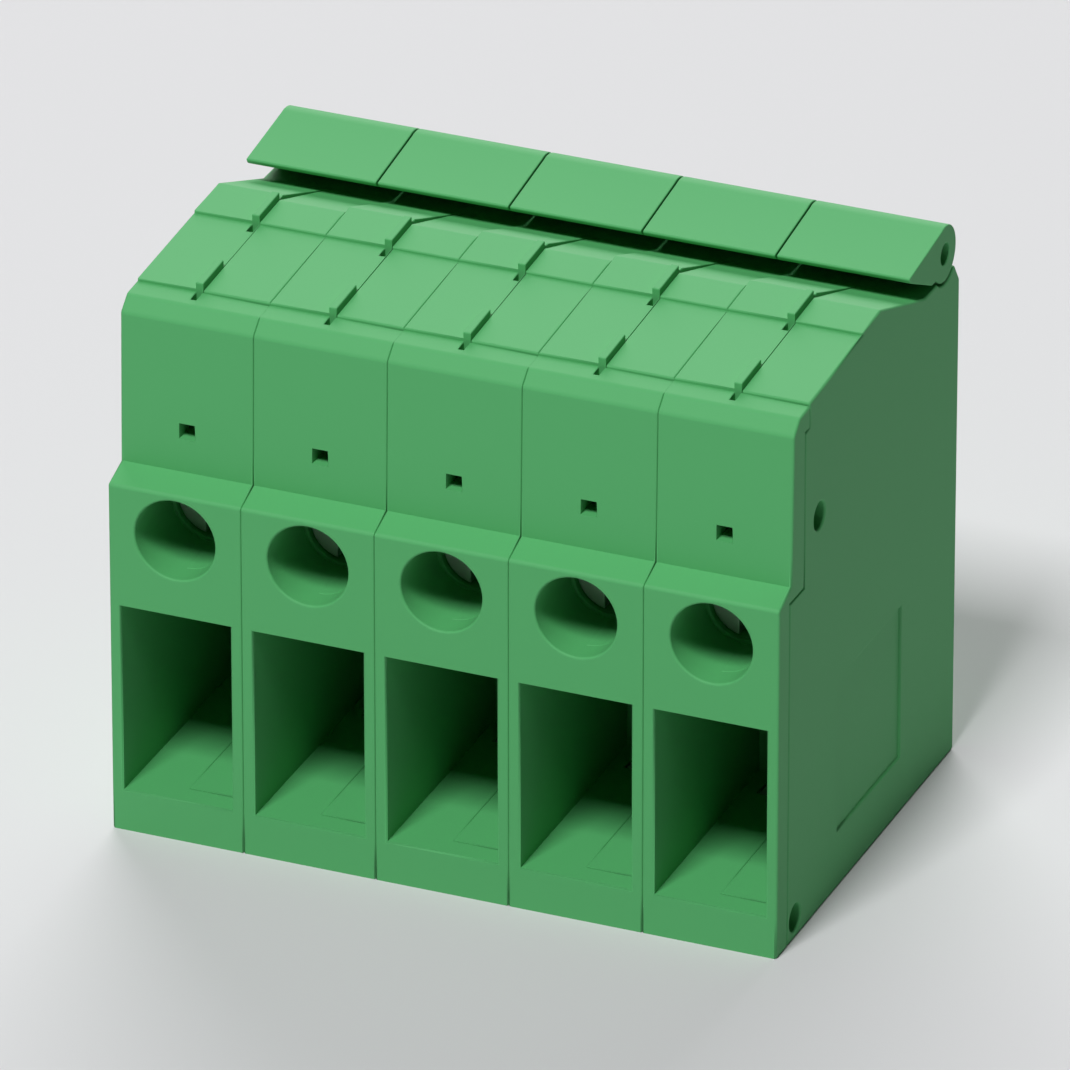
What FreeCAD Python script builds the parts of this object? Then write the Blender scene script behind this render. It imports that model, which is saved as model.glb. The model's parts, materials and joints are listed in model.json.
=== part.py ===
import FreeCAD, Part
import Sketcher
import os

# Five-pole screw terminal for circuit boards, with screws and wire entries in its front face.
# Each pole is one disc: a housing shell that keeps the whole front frame, and a half-width
# cover that closes it from the right. The disc holds one wedge clamp and carries one hinged flap.
# Inside a disc x runs along the row from the disc's left face, y from the front face to the
# rear, and z up from the circuit board.

# Driving dimensions, in millimetres unless the name says otherwise. Heights build up from the
# board and depths from the front face, so that one changed size carries along what follows it.
DRIVING = [
    ("pole_count", 5),
    ("pitch", 7.62),
    # Current bar with its solder pins
    ("bar_floor", 0.5),
    ("bar_thickness", 0.8),
    ("bar_width", 4.4),
    ("bar_jog_setback", 2.5),
    ("bar_jog_length", 1.4),
    ("rear_pin_inset", 1.56),
    ("pin_spacing", 15.24),
    ("pin_thickness", 0.8),
    ("pin_width", 1.0),
    ("pin_length", 3.5),
    ("pin_play", 0.1),
    # Clamp
    ("sheet", 0.8),
    ("metal_width", 5.2),
    ("side_play", 0.1),
    ("slide_play", 0.07),
    ("slope_play", 0.1),
    ("closed_gap", 0.6),
    ("piece_length", 5.2),
    ("piece_heel_height", 4.5),
    ("groove_depth", 0.5),
    ("groove_width", 1.3),
    ("groove_inset", 0.65),
    ("wedge_length", 5.2),
    ("wedge_slope", 1.0),
    ("wedge_web", 0.9),
    ("wedge_lead", 0.4),
    ("end_room", 2.3),
    # Screw and its bore
    ("bore_radius", 2.3),
    ("bore_depth", 4.8),
    ("bore_cover", 0.35),
    ("head_setback", 0.2),
    ("head_radius", 2.0),
    ("head_length", 2.6),
    ("head_play", 0.1),
    ("drive_slot_width", 0.8),
    ("drive_slot_depth", 1.3),
    ("shank_radius", 1.5),
    ("shank_play", 0.08),
    ("shank_tail", 1.3),
    ("collar_radius", 1.9),
    ("collar_length", 0.8),
    ("collar_play", 0.05),
    ("collar_room", 3.1),
    ("thread_pitch", 0.5),
    ("screw_turns", 6),
    # Walls round the wire entry and the chambers
    ("base_wall", 0.9),
    ("side_wall", 0.66),
    ("rear_wall", 1.9),
    ("roof_wall", 1.3),
    ("partition_wall", 1.15),
    ("sill_web", 1.1),
    ("funnel_length", 6.3),
    ("throat_lift", 0.5),
    # Test contact and its probe hole
    ("probe_rise", 2.4),
    ("probe_hole", 0.9),
    ("contact_width", 2.4),
    ("contact_thickness", 0.5),
    ("contact_foot", 4.0),
    ("contact_reach", 1.05),
    ("contact_play", 0.1),
    # Front frame of the shell and outline of the disc
    ("frame_depth", 1.5),
    ("upper_frame_depth", 1.6),
    ("ledge_depth", 1.7),
    ("ledge_rise", 0.6),
    ("upper_front_lean", 0.2),
    ("head_room", 4.7),
    ("brow_depth", 0.8),
    ("brow_rise", 0.7),
    ("ridge_rise", 1.1),
    ("ridge_setback", 8.8),
    ("cover_ridge_lead", 0.6),
    ("rear_edge_drop", 1.05),
    # Label area on the sloping roof
    ("roof_seam_depth", 4.1),
    ("label_step_setback", 3.2),
    ("roof_step", 0.15),
    ("rail_width", 0.45),
    ("rail_height", 0.4),
    ("rail_length", 2.7),
    ("rail_notch_length", 0.8),
    ("rail_notch_width", 0.35),
    ("rail_notch_depth", 0.6),
    # Hinged flap
    ("pivot_setback", 2.1),
    ("pivot_drop", 1.05),
    ("knuckle_radius", 1.6),
    ("cradle_play", 0.15),
    ("seat_bite", 0.3),
    ("seat_run", 1.3),
    ("rear_seat_run", 1.4),
    ("flap_gap", 0.1),
    ("flap_reach", 5.2),
    ("flap_tip_thickness", 0.3),
    ("flap_tip_setback", 0.15),
    ("flap_top_fall", 0.75),
    ("flap_heel_lead", 0.2),
    ("flap_heel_play", 0.25),
    ("lug_radius", 1.0),
    ("lug_width", 3.0),
    ("lug_stem", 1.5),
    ("lug_play", 0.12),
    ("stub_radius", 0.55),
    ("stub_length", 1.5),
    ("stub_play", 0.06),
    # Pegs that line up neighbouring discs, and the plain panel on the cover
    ("peg_radius", 0.7),
    ("peg_length", 1.0),
    ("peg_play", 0.08),
    ("lower_peg_setback", 1.1),
    ("upper_peg_setback", 2.1),
    ("panel_depth", 0.15),
    ("panel_setback", 7.1),
    ("panel_length", 9.0),
    ("panel_bottom", 3.4),
    ("panel_height", 9.0),
]

# Sizes that follow from the driving dimensions
DERIVED = [
    ("middle", "=pitch / 2"),
    # Depths of the clamp, from the bore to the rear wall
    ("head_depth", "=bore_depth + head_setback"),
    ("head_back", "=head_depth + head_length"),
    ("frame_front", "=head_back + collar_play"),
    ("frame_lip_back", "=frame_front + sheet"),
    ("collar_front", "=frame_lip_back + collar_play"),
    ("travel", "=screw_turns * thread_pitch"),
    ("wedge_closed_front", "=collar_front + collar_length + collar_room"),
    ("wedge_front", "=wedge_closed_front + travel"),
    ("wedge_back", "=wedge_front + wedge_length"),
    ("piece_front", "=wedge_front - wedge_lead"),
    ("piece_back", "=piece_front + piece_length"),
    ("guide_depth", "=piece_front - side_play"),
    ("shank_length", "=wedge_back + shank_tail - head_back"),
    ("frame_back_inner", "=wedge_back + end_room"),
    ("frame_back", "=frame_back_inner + sheet"),
    ("total_depth", "=frame_back + rear_wall"),
    # Heights of the clamp, from the board to the screw
    ("bar_run_top", "=bar_floor + bar_thickness"),
    ("sill_height", "=bar_run_top + sill_web"),
    ("bar_low", "=base_wall + sheet"),
    ("clamp_floor", "=bar_low + bar_thickness"),
    ("piece_bottom", "=clamp_floor + closed_gap + travel * wedge_slope"),
    ("piece_top_back", "=piece_bottom + piece_heel_height"),
    ("piece_top_front", "=piece_top_back + piece_length * wedge_slope"),
    ("wedge_front_low", "=piece_top_front - wedge_lead * wedge_slope + slope_play"),
    ("wedge_back_low", "=wedge_front_low - wedge_length * wedge_slope"),
    ("screw_height", "=wedge_front_low + wedge_web + shank_radius"),
    ("frame_inner_top", "=screw_height + shank_radius + wedge_web"),
    ("wedge_top", "=frame_inner_top - slide_play"),
    ("chamber_top", "=frame_inner_top + sheet"),
    ("shelf_height", "=wedge_front_low - wedge_web"),
    ("guide_top", "=shelf_height - (guide_depth - wedge_closed_front) * wedge_slope"),
    # Grooves across the underside of the jaw
    ("groove_top", "=piece_bottom + groove_depth"),
    ("groove_start", "=piece_front + groove_inset"),
    ("groove_ridge", "=groove_start + groove_width / 2"),
    ("groove_end", "=groove_start + groove_width"),
    ("second_groove_end", "=piece_back - groove_inset"),
    ("second_groove_ridge", "=second_groove_end - groove_width / 2"),
    ("second_groove_start", "=second_groove_end - groove_width"),
    # Widths of the clamp and radii of the bores
    ("chamber_width", "=metal_width + 2 * side_play"),
    ("chamber_side", "=middle - chamber_width / 2"),
    ("metal_side", "=middle - metal_width / 2"),
    ("frame_hole_radius", "=shank_radius + shank_play"),
    ("head_bore_radius", "=head_radius + head_play"),
    ("nut_radius", "=shank_radius + slide_play"),
    ("drive_slot_left", "=middle - drive_slot_width / 2"),
    ("drive_slot_right", "=middle + drive_slot_width / 2"),
    ("head_low", "=screw_height - head_radius"),
    ("head_high", "=screw_height + head_radius"),
    # Wire entry
    ("entry_width", "=pitch - 2 * side_wall"),
    ("entry_top", "=shelf_height - partition_wall"),
    ("entry_depth", "=guide_depth - funnel_length"),
    ("throat_top", "=piece_bottom + throat_lift"),
    ("bar_jog_end", "=guide_depth - bar_jog_setback"),
    ("bar_jog_start", "=bar_jog_end - bar_jog_length"),
    ("ramp_start", "=bar_jog_start - bar_jog_length"),
    # Current bar, its slot and its pins
    ("bar_back", "=frame_back_inner - side_play"),
    ("bar_side", "=middle - bar_width / 2"),
    ("bar_slot_width", "=bar_width + 2 * pin_play"),
    ("bar_slot_side", "=middle - bar_slot_width / 2"),
    ("rear_pin_back", "=bar_back - rear_pin_inset"),
    ("rear_pin_front", "=rear_pin_back - pin_thickness"),
    ("bar_front_depth", "=rear_pin_front - pin_spacing"),
    ("front_pin_back", "=bar_front_depth + pin_thickness"),
    ("front_pin_run", "=bar_run_top + pin_length"),
    ("rear_pin_run", "=clamp_floor + pin_length"),
    ("pin_left", "=middle - pin_width / 2"),
    ("pin_right", "=middle + pin_width / 2"),
    ("pin_hole_left", "=pin_left - pin_play"),
    ("pin_hole_right", "=pin_right + pin_play"),
    ("front_hole_front", "=bar_front_depth - pin_play"),
    ("front_hole_back", "=front_pin_back + pin_play"),
    ("rear_hole_front", "=rear_pin_front - pin_play"),
    ("rear_hole_back", "=rear_pin_back + pin_play"),
    # Test contact in its slot, and the probe hole
    ("contact_slot_front", "=frame_lip_back"),
    ("contact_front", "=contact_slot_front + contact_play"),
    ("contact_upright_back", "=contact_front + contact_thickness"),
    ("contact_back", "=contact_front + contact_foot"),
    ("contact_slot_back", "=contact_back + contact_play"),
    ("probe_height", "=chamber_top + probe_rise"),
    ("probe_low", "=probe_height - probe_hole / 2"),
    ("probe_high", "=probe_height + probe_hole / 2"),
    ("probe_left", "=middle - probe_hole / 2"),
    ("probe_right", "=middle + probe_hole / 2"),
    ("contact_foot_top", "=chamber_top + contact_thickness"),
    ("contact_top", "=probe_high + contact_reach"),
    ("contact_slot_top", "=contact_top + contact_play"),
    ("contact_side", "=middle - contact_width / 2"),
    ("contact_slot_width", "=contact_width + 2 * contact_play"),
    ("contact_slot_side", "=middle - contact_slot_width / 2"),
    # Outline of the disc
    ("lower_front_height", "=screw_height + bore_radius + bore_cover"),
    ("ledge_back_height", "=lower_front_height + ledge_rise"),
    ("brow_start_depth", "=ledge_depth + upper_front_lean"),
    ("brow_start_height", "=contact_slot_top + head_room"),
    ("brow_end_depth", "=brow_start_depth + brow_depth"),
    ("brow_end_height", "=brow_start_height + brow_rise"),
    ("pivot_depth", "=total_depth - pivot_setback"),
    ("ridge_depth", "=pivot_depth - ridge_setback"),
    ("ridge_height", "=brow_end_height + ridge_rise"),
    ("pivot_height", "=ridge_height - pivot_drop"),
    ("roof_slope", "=(ridge_rise - 2 * roof_step) / (ridge_depth - brow_end_depth)"),
    ("roof_seam_height", "=brow_end_height + roof_slope * (roof_seam_depth - brow_end_depth)"),
    ("roof_seam_top", "=roof_seam_height + roof_step"),
    ("label_step_depth", "=ridge_depth - label_step_setback"),
    ("label_step_foot", "=roof_seam_top + roof_slope * (label_step_depth - roof_seam_depth)"),
    ("label_step_top", "=label_step_foot + roof_step"),
    ("cover_ridge_depth", "=ridge_depth - cover_ridge_lead"),
    ("cover_ridge_height", "=ridge_height - roof_slope * cover_ridge_lead"),
    ("cradle_radius", "=knuckle_radius + cradle_play"),
    ("seat_height", "=pivot_height - knuckle_radius + seat_bite"),
    ("seat_start_depth", "=pivot_depth - knuckle_radius - seat_run"),
    ("rear_seat_end", "=pivot_depth + rear_seat_run"),
    ("rear_edge_height", "=seat_height - rear_edge_drop"),
    # Front frame of the shell
    ("frame_top", "=lower_front_height - ledge_rise / 2"),
    ("upper_frame_back", "=brow_start_depth + upper_frame_depth"),
    ("roof_frame_foot", "=roof_seam_height - roof_wall"),
    # Relief chamber below the roof
    ("relief_floor", "=contact_slot_top + roof_wall"),
    ("relief_ridge_top", "=ridge_height - roof_wall"),
    ("relief_back_top", "=seat_height - roof_wall"),
    # Rails on the label area, and the notches at their feet
    ("rail_side", "=middle - rail_width"),
    ("lower_rail_end", "=roof_seam_depth + rail_length"),
    ("lower_rail_end_height", "=roof_seam_top + roof_slope * rail_length"),
    ("lower_rail_top_front", "=roof_seam_top + rail_height"),
    ("lower_rail_top_back", "=lower_rail_end_height + rail_height"),
    ("upper_rail_end", "=label_step_depth + rail_length"),
    ("upper_rail_end_height", "=label_step_top + roof_slope * rail_length"),
    ("upper_rail_top_front", "=label_step_top + rail_height"),
    ("upper_rail_top_back", "=upper_rail_end_height + rail_height"),
    ("rail_root_front", "=roof_seam_height - rail_height"),
    ("rail_root_back", "=label_step_foot - rail_height"),
    ("rail_notch_side", "=rail_side + (rail_width - rail_notch_width) / 2"),
    ("lower_notch_front", "=roof_seam_depth - rail_notch_length"),
    ("lower_notch_foot", "=roof_seam_height - rail_notch_depth"),
    ("upper_notch_front", "=label_step_depth - rail_notch_length"),
    ("upper_notch_foot", "=label_step_foot - rail_notch_depth"),
    # Flap
    ("flap_width", "=pitch - flap_gap"),
    ("flap_side", "=flap_gap / 2"),
    ("flap_tip_depth", "=pivot_depth - flap_reach"),
    ("flap_top", "=pivot_height + knuckle_radius"),
    ("flap_tip_top", "=flap_top - flap_top_fall"),
    ("flap_tip_low_depth", "=flap_tip_depth + flap_tip_setback"),
    ("flap_tip_low", "=flap_tip_top - flap_tip_thickness"),
    ("flap_heel_depth", "=pivot_depth - knuckle_radius - flap_heel_lead"),
    ("flap_heel_height", "=seat_height + flap_heel_play"),
    ("flap_slot_width", "=lug_width + 2 * lug_play"),
    ("flap_slot_side", "=middle - flap_slot_width / 2"),
    ("flap_slot_front", "=pivot_depth - lug_radius - lug_play"),
    ("flap_slot_top", "=pivot_height + lug_radius + lug_play"),
    ("flap_slot_back", "=pivot_depth + cradle_radius"),
    ("flap_slot_low", "=pivot_height - cradle_radius"),
    ("stub_hole_radius", "=stub_radius + stub_play"),
    # Lug that carries the flap
    ("lug_half", "=lug_width / 2"),
    ("lug_side", "=middle - lug_half"),
    ("stem_front", "=pivot_depth - lug_stem / 2"),
    ("stem_back", "=pivot_depth + lug_stem / 2"),
    ("stem_foot", "=seat_height - cradle_radius"),
    ("left_stub_start", "=lug_side - stub_length"),
    ("stub_run", "=lug_half + stub_length"),
    # Pegs and panel
    ("lower_peg_depth", "=frame_depth + lower_peg_setback"),
    ("upper_peg_depth", "=upper_frame_back + upper_peg_setback"),
    ("lower_peg_height", "=sill_height / 2"),
    ("upper_peg_height", "=probe_height"),
    ("peg_hole_radius", "=peg_radius + peg_play"),
    ("peg_hole_depth", "=peg_length + peg_play"),
    ("peg_hole_side", "=pitch - peg_hole_depth"),
    ("panel_side", "=pitch - panel_depth"),
    ("panel_start", "=frame_depth + panel_setback"),
    ("panel_end", "=panel_start + panel_length"),
    ("panel_top", "=panel_bottom + panel_height"),
]

doc = FreeCAD.newDocument("screw_terminal")
sheet = doc.addObject("Spreadsheet::Sheet", "Sizes")


def fill_sheet():
    """Writes every size into the sheet: its name in column A, its value or formula in column B."""
    for row, (name, value) in enumerate(DRIVING + DERIVED, start=1):
        sheet.set("A%d" % row, name)
        sheet.set("B%d" % row, str(value))
        sheet.setAlias("B%d" % row, name)
    doc.recompute()


def size(name):
    """The present value of one named size."""
    return float(getattr(sheet, name))


def bind(feature, prop, name):
    """Ties one property of a feature to a named size."""
    feature.setExpression(prop, "Sizes." + name)


def new_body(label, pole):
    """A body in its own disc: its origin is the disc's lower front left corner."""
    body = doc.addObject("PartDesign::Body", label)
    body.Label = label
    place = "Sizes.pitch * (%d - Sizes.pole_count / 2)" % (pole - 1)
    body.setExpression("Placement.Base.x", place)
    body.setExpression("Placement.Base.y", "-Sizes.total_depth / 2")
    return body


def new_sketch(body, label, role, offset=None):
    """A sketch on one of the body's own origin planes, moved out along its normal by a size."""
    plane = [item for item in body.Origin.OriginFeatures if item.Role == role][0]
    sketch = body.newObject("Sketcher::SketchObject", body.Label + "_" + label)
    sketch.AttachmentSupport = [(plane, "")]
    sketch.MapMode = "FlatFace"
    if offset:
        bind(sketch, "AttachmentOffset.Base.z", offset)
    return sketch


def point_rules(edge, end, across, up):
    """The rules that fix a sketch point at two named sizes from the origin; an empty name is zero."""
    rules = []
    for kind, axis, name in (("DistanceX", -2, across), ("DistanceY", -1, up)):
        if name:
            rules.append((Sketcher.Constraint(kind, -1, 1, edge, end, size(name)), name))
        else:
            rules.append((Sketcher.Constraint("PointOnObject", edge, end, axis), None))
    return rules


def apply_rules(sketch, rules):
    """Adds pairs of a constraint and the named size that drives it, or None."""
    first = sketch.ConstraintCount
    sketch.addConstraint([constraint for constraint, name in rules])
    for index, (constraint, name) in enumerate(rules, start=first):
        if name:
            bind(sketch, "Constraints[%d]" % index, name)


def draw_outline(sketch, corners):
    """A closed outline of straight edges through corners given as pairs of named sizes."""
    points = [FreeCAD.Vector(size(a) if a else 0, size(b) if b else 0, 0) for a, b in corners]
    count = len(points)
    sketch.addGeometry([Part.LineSegment(points[k], points[(k + 1) % count]) for k in range(count)])
    rules = [(Sketcher.Constraint("Coincident", k, 2, (k + 1) % count, 1), None) for k in range(count)]
    for k, (across, up) in enumerate(corners):
        rules += point_rules(k, 1, across, up)
    apply_rules(sketch, rules)


def draw_circle(sketch, across, up, radius):
    """A circle whose centre and radius are named sizes."""
    centre = FreeCAD.Vector(size(across), size(up), 0)
    sketch.addGeometry(Part.Circle(centre, FreeCAD.Vector(0, 0, 1), size(radius)))
    rules = point_rules(0, 3, across, up)
    rules.append((Sketcher.Constraint("Radius", 0, size(radius)), radius))
    apply_rules(sketch, rules)


def pad(body, sketch, length, reverse=False):
    """Adds the sketch's area, carried along the sketch's normal."""
    feature = body.newObject("PartDesign::Pad", sketch.Label + "_pad")
    feature.Profile = sketch
    feature.Reversed = reverse
    bind(feature, "Length", length)
    sketch.Visibility = False
    return feature


def pocket(body, sketch, length, along_normal=True):
    """Cuts the sketch's area away, along the sketch's normal or against it."""
    feature = body.newObject("PartDesign::Pocket", sketch.Label + "_pocket")
    feature.Profile = sketch
    feature.Reversed = along_normal
    bind(feature, "Length", length)
    sketch.Visibility = False
    return feature


def side_pad(body, label, corners, start, length):
    """Adds an outline drawn in the y-z plane, from x = start over the given length."""
    sketch = new_sketch(body, label, "YZ_Plane", start)
    draw_outline(sketch, corners)
    return pad(body, sketch, length)


def side_cut(body, label, corners, start, length):
    """Cuts an outline drawn in the y-z plane, from x = start over the given length."""
    sketch = new_sketch(body, label, "YZ_Plane", start)
    draw_outline(sketch, corners)
    return pocket(body, sketch, length)


def side_round(body, label, across, up, radius, start, length, cut=False):
    """Adds or cuts a cylinder that lies along x."""
    sketch = new_sketch(body, label, "YZ_Plane", start)
    draw_circle(sketch, across, up, radius)
    return pocket(body, sketch, length) if cut else pad(body, sketch, length)


def rectangle(low_across, high_across, low_up, high_up):
    """The four corners of a rectangle between named sizes."""
    return [(low_across, low_up), (high_across, low_up), (high_across, high_up), (low_across, high_up)]


def front_sketch(body, label, depth=None):
    """A sketch that faces the front, in the x-z plane at the given depth."""
    sketch = new_sketch(body, label, "XZ_Plane")
    if depth:
        sketch.setExpression("AttachmentOffset.Base.z", "-Sizes." + depth)
    return sketch


def front_round(body, label, radius, depth, length):
    """Adds a cylinder on the screw's axis, from the given depth towards the rear."""
    sketch = front_sketch(body, label, depth)
    draw_circle(sketch, "middle", "screw_height", radius)
    return pad(body, sketch, length, reverse=True)


def front_bore(body, label, radius, length):
    """Cuts a bore on the screw's axis, from the front face towards the rear."""
    sketch = front_sketch(body, label)
    draw_circle(sketch, "middle", "screw_height", radius)
    return pocket(body, sketch, length, along_normal=False)


def front_slot(body, label, corners, length, depth=None):
    """Cuts a straight-sided opening from the given depth towards the rear."""
    sketch = front_sketch(body, label, depth)
    draw_outline(sketch, corners)
    return pocket(body, sketch, length, along_normal=False)


def floor_slot(body, label, corners, length):
    """Cuts a straight-sided opening upwards from the board plane."""
    sketch = new_sketch(body, label, "XY_Plane")
    draw_outline(sketch, corners)
    return pocket(body, sketch, length)


FRONT_EDGE = [
    ("", "lower_front_height"),
    ("ledge_depth", "ledge_back_height"),
    ("brow_start_depth", "brow_start_height"),
    ("brow_end_depth", "brow_end_height"),
]
ROOF_STEPS = [
    ("roof_seam_depth", "roof_seam_top"),
    ("label_step_depth", "label_step_foot"),
    ("label_step_depth", "label_step_top"),
]
SHELL_RIDGE = [("ridge_depth", "ridge_height")]
COVER_RIDGE = [("cover_ridge_depth", "cover_ridge_height")]
REAR_EDGE = [
    ("seat_start_depth", "seat_height"),
    ("rear_seat_end", "seat_height"),
    ("total_depth", "rear_edge_height"),
    ("total_depth", ""),
]
ROOF_SEAM = [("roof_seam_depth", "roof_seam_height")]
FRAME_BACK_EDGE = [
    ("roof_seam_depth", "roof_frame_foot"),
    ("upper_frame_back", "roof_frame_foot"),
    ("upper_frame_back", "frame_top"),
    ("frame_depth", "frame_top"),
    ("frame_depth", ""),
]
WIRE_ENTRY = [
    ("", "sill_height"),
    ("ramp_start", "sill_height"),
    ("bar_jog_end", "clamp_floor"),
    ("guide_depth", "clamp_floor"),
    ("guide_depth", "throat_top"),
    ("entry_depth", "entry_top"),
    ("", "entry_top"),
]
CLAMP_CHAMBER = [
    ("frame_front", "shelf_height"),
    ("wedge_closed_front", "shelf_height"),
    ("guide_depth", "guide_top"),
    ("guide_depth", "base_wall"),
    ("frame_back", "base_wall"),
    ("frame_back", "chamber_top"),
    ("frame_front", "chamber_top"),
]
RELIEF_CHAMBER = [
    ("upper_frame_back", "relief_floor"),
    ("seat_start_depth", "relief_floor"),
    ("seat_start_depth", "relief_back_top"),
    ("ridge_depth", "relief_ridge_top"),
    ("upper_frame_back", "roof_frame_foot"),
]
BAR_OUTLINE = [
    ("bar_front_depth", "bar_floor"),
    ("bar_jog_start", "bar_floor"),
    ("bar_jog_end", "bar_low"),
    ("bar_back", "bar_low"),
    ("bar_back", "clamp_floor"),
    ("bar_jog_end", "clamp_floor"),
    ("bar_jog_start", "bar_run_top"),
    ("bar_front_depth", "bar_run_top"),
]
CLAMP_FRAME_OUTLINE = [
    ("frame_front", "shelf_height"),
    ("frame_lip_back", "shelf_height"),
    ("frame_lip_back", "frame_inner_top"),
    ("frame_back_inner", "frame_inner_top"),
    ("frame_back_inner", "bar_low"),
    ("piece_front", "bar_low"),
    ("piece_front", "base_wall"),
    ("frame_back", "base_wall"),
    ("frame_back", "chamber_top"),
    ("frame_front", "chamber_top"),
]
WEDGE_OUTLINE = [
    ("wedge_front", "wedge_front_low"),
    ("wedge_back", "wedge_back_low"),
    ("wedge_back", "wedge_top"),
    ("wedge_front", "wedge_top"),
]
PIECE_OUTLINE = [
    ("piece_front", "piece_bottom"),
    ("groove_start", "piece_bottom"),
    ("groove_ridge", "groove_top"),
    ("groove_end", "piece_bottom"),
    ("second_groove_start", "piece_bottom"),
    ("second_groove_ridge", "groove_top"),
    ("second_groove_end", "piece_bottom"),
    ("piece_back", "piece_bottom"),
    ("piece_back", "piece_top_back"),
    ("piece_front", "piece_top_front"),
]
CONTACT_OUTLINE = [
    ("contact_front", "chamber_top"),
    ("contact_back", "chamber_top"),
    ("contact_back", "contact_foot_top"),
    ("contact_upright_back", "contact_foot_top"),
    ("contact_upright_back", "contact_top"),
    ("contact_front", "contact_top"),
]
FLAP_OUTLINE = [
    ("flap_tip_depth", "flap_tip_top"),
    ("pivot_depth", "flap_top"),
    ("pivot_depth", "flap_heel_height"),
    ("flap_heel_depth", "flap_heel_height"),
    ("flap_tip_low_depth", "flap_tip_low"),
]
LOWER_RAIL = [
    ("roof_seam_depth", "rail_root_front"),
    ("roof_seam_depth", "lower_rail_top_front"),
    ("lower_rail_end", "lower_rail_top_back"),
    ("lower_rail_end", "rail_root_front"),
]
UPPER_RAIL = [
    ("label_step_depth", "rail_root_back"),
    ("label_step_depth", "upper_rail_top_front"),
    ("upper_rail_end", "upper_rail_top_back"),
    ("upper_rail_end", "rail_root_back"),
]
LOWER_NOTCH = rectangle("lower_notch_front", "roof_seam_depth", "lower_notch_foot", "lower_rail_top_front")
UPPER_NOTCH = rectangle("upper_notch_front", "label_step_depth", "upper_notch_foot", "upper_rail_top_front")
FRONT_PIN_HOLE = rectangle("pin_hole_left", "pin_hole_right", "front_hole_front", "front_hole_back")
REAR_PIN_HOLE = rectangle("pin_hole_left", "pin_hole_right", "rear_hole_front", "rear_hole_back")


def cut_chambers(body):
    """Cuts what shell and cover share: the cradle, the entry, the chambers, bores and pin holes."""
    side_round(body, "cradle", "pivot_depth", "pivot_height", "cradle_radius", None, "pitch", cut=True)
    side_cut(body, "wire_entry", WIRE_ENTRY, "side_wall", "entry_width")
    side_cut(body, "clamp_chamber", CLAMP_CHAMBER, "chamber_side", "chamber_width")
    side_cut(body, "relief_chamber", RELIEF_CHAMBER, "side_wall", "entry_width")
    contact_slot = rectangle("contact_slot_front", "contact_slot_back", "chamber_top", "contact_slot_top")
    side_cut(body, "contact_slot", contact_slot, "contact_slot_side", "contact_slot_width")
    side_cut(body, "bar_slot", BAR_OUTLINE, "bar_slot_side", "bar_slot_width")
    front_bore(body, "screw_bore", "bore_radius", "bore_depth")
    front_bore(body, "head_bore", "head_bore_radius", "frame_front")
    probe = rectangle("probe_left", "probe_right", "probe_low", "probe_high")
    front_slot(body, "probe_hole", probe, "contact_slot_front")
    floor_slot(body, "front_pin_hole", FRONT_PIN_HOLE, "bar_floor")
    floor_slot(body, "rear_pin_hole", REAR_PIN_HOLE, "base_wall")


def add_half_lug(body, lug_start, stub_start):
    """Adds one half of the hinge lug with its stub, on a stem that stands in the cradle."""
    stem = rectangle("stem_front", "stem_back", "stem_foot", "pivot_height")
    side_pad(body, "lug_stem", stem, lug_start, "lug_half")
    side_round(body, "lug_eye", "pivot_depth", "pivot_height", "lug_radius", lug_start, "lug_half")
    side_round(body, "hinge_stub", "pivot_depth", "pivot_height", "stub_radius", stub_start, "stub_run")


def make_housing_shell(pole):
    """The left half of a disc with its left wall, and the front frame over the full pitch."""
    body = new_body("housing_shell_%d" % pole, pole)
    front_edge = [("", "")] + FRONT_EDGE + ROOF_SEAM
    side_pad(body, "left_half", front_edge + ROOF_STEPS + SHELL_RIDGE + REAR_EDGE, None, "middle")
    side_pad(body, "front_frame", front_edge + FRAME_BACK_EDGE, None, "pitch")
    cut_chambers(body)
    side_cut(body, "lower_notch", LOWER_NOTCH, "rail_notch_side", "rail_notch_width")
    side_cut(body, "upper_notch", UPPER_NOTCH, "rail_notch_side", "rail_notch_width")
    side_pad(body, "lower_rail", LOWER_RAIL, "rail_side", "rail_width")
    side_pad(body, "upper_rail", UPPER_RAIL, "rail_side", "rail_width")
    add_half_lug(body, "lug_side", "left_stub_start")
    if pole > 1:
        for name in ("lower", "upper"):
            sketch = new_sketch(body, name + "_peg", "YZ_Plane")
            draw_circle(sketch, name + "_peg_depth", name + "_peg_height", "peg_radius")
            pad(body, sketch, "peg_length", reverse=True)
    return body


def make_side_cover(pole):
    """The half-width cover that closes a disc from the right, behind the shell's front frame."""
    body = new_body("side_cover_%d" % pole, pole)
    outline = FRAME_BACK_EDGE[::-1] + ROOF_STEPS + COVER_RIDGE + REAR_EDGE
    side_pad(body, "right_half", outline, "middle", "middle")
    cut_chambers(body)
    add_half_lug(body, "middle", "middle")
    for name in ("lower", "upper"):
        hole = (name + "_peg_depth", name + "_peg_height", "peg_hole_radius")
        side_round(body, name + "_peg_hole", *hole, "peg_hole_side", "peg_hole_depth", cut=True)
    panel = rectangle("panel_start", "panel_end", "panel_bottom", "panel_top")
    side_cut(body, "plain_panel", panel, "panel_side", "panel_depth")
    return body


def make_clamp_screw(pole):
    """The slotted clamp screw, held along its axis by its head and a collar."""
    body = new_body("clamp_screw_%d" % pole, pole)
    front_round(body, "head", "head_radius", "head_depth", "head_length")
    front_round(body, "shank", "shank_radius", "head_back", "shank_length")
    front_round(body, "collar", "collar_radius", "collar_front", "collar_length")
    slot = rectangle("drive_slot_left", "drive_slot_right", "head_low", "head_high")
    front_slot(body, "drive_slot", slot, "drive_slot_depth", "head_depth")
    return body


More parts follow.
